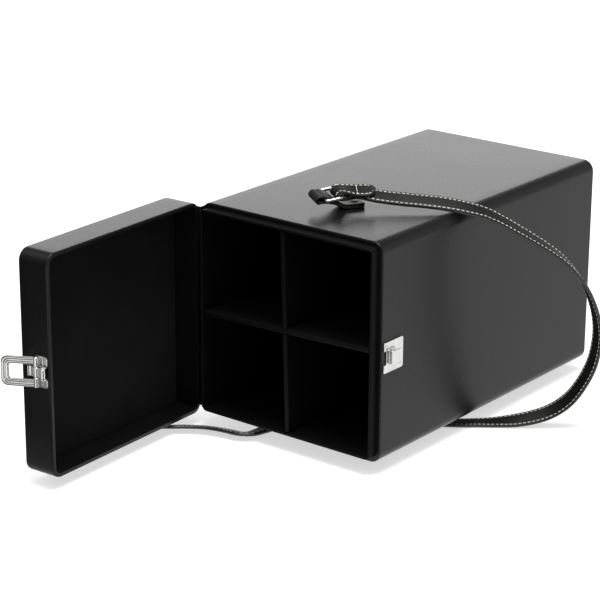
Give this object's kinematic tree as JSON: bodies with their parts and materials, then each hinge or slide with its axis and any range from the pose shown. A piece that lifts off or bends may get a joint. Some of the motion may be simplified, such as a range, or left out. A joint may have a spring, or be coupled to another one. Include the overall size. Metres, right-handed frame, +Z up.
{
  "type": "wine gift box",
  "caption": "Black leatherette wine gift box lying on its side with its lid open, with a divider cross, a chrome draw clasp and a stitched shoulder strap on riveted rings.",
  "frame": {"origin": "middle of the flat side that the box lies on, where the underside mount is; the strap and its anchor below hold this side 10 mm above the table", "axes": "+Z up, -Y out of the mouth, +X from the hinge side to the clasp side"},
  "size_m": [0.4023, 0.5299, 0.2198],
  "materials": {
    "leatherette": "semi-gloss, smooth",
    "board": "raw fibreboard",
    "inner_leatherette": "satin",
    "lining": "matte",
    "strap_leather": "satin, white stitching",
    "chrome": "polished",
    "black_metal": "satin black"
  },
  "bodies": {
    "body": {"body_cover": "leatherette", "base_panel": "leatherette", "top_board": "board", "under_board": "board", "hinge_board": "board", "clasp_board": "board", "base_board": "board", "top_liner": "inner_leatherette", "under_liner": "inner_leatherette", "hinge_liner": "inner_leatherette", "clasp_liner": "inner_leatherette", "base_lining": "lining", "divider_upright": "inner_leatherette", "divider_level": "inner_leatherette", "hinge_leaf_body": "leatherette", "catch_plate": "chrome", "catch_rivet_1": "chrome", "catch_rivet_2": "chrome", "top_anchor_tab": "strap_leather", "top_anchor_rivet": "black_metal", "top_anchor_ring": "chrome", "under_anchor_tab": "strap_leather", "under_anchor_rivet": "black_metal", "under_anchor_ring": "chrome", "strap": "strap_leather"},
    "lid": {"lid_cover": "leatherette", "lid_board": "board", "lid_top_wall": "board", "lid_under_wall": "board", "lid_hinge_wall": "board", "lid_clasp_wall": "board", "lid_lining": "lining", "hinge_leaf_lid": "leatherette", "clasp_base": "chrome", "clasp_base_pin": "chrome", "clasp_rivet_1": "chrome", "clasp_rivet_2": "chrome"},
    "lever": {"clasp_lever": "chrome"},
    "loop_pin": {"clasp_loop_pin": "chrome"},
    "loop": {"clasp_loop": "chrome"}
  },
  "joints": [
    {"name": "lid_hinge", "type": "hinge", "parent": "body", "child": "lid", "pos_m": [-0.0962, -0.16015, 0.095], "axis": [0, 0, 1], "range_deg": [-92, 88]},
    {"name": "clasp_lever_hinge", "type": "hinge", "parent": "lid", "child": "lever", "pos_m": [-0.09395, -0.35489, 0.092], "axis": [0, 0, 1], "range_deg": [0, 150]},
    {"name": "clasp_pin_turn", "type": "hinge", "parent": "lever", "child": "loop_pin", "pos_m": [-0.10095, -0.35513, 0.092], "axis": [0, 0, 1], "range_deg": [-150, 0]},
    {"name": "clasp_loop_hinge", "type": "hinge", "parent": "loop_pin", "child": "loop", "pos_m": [-0.10095, -0.35513, 0.092], "axis": [0, 0, -1], "range_deg": [-155, 27]}
  ],
  "couplings": [
    {"joint": "clasp_pin_turn", "follows": "clasp_lever_hinge", "ratio": -1}
  ]
}
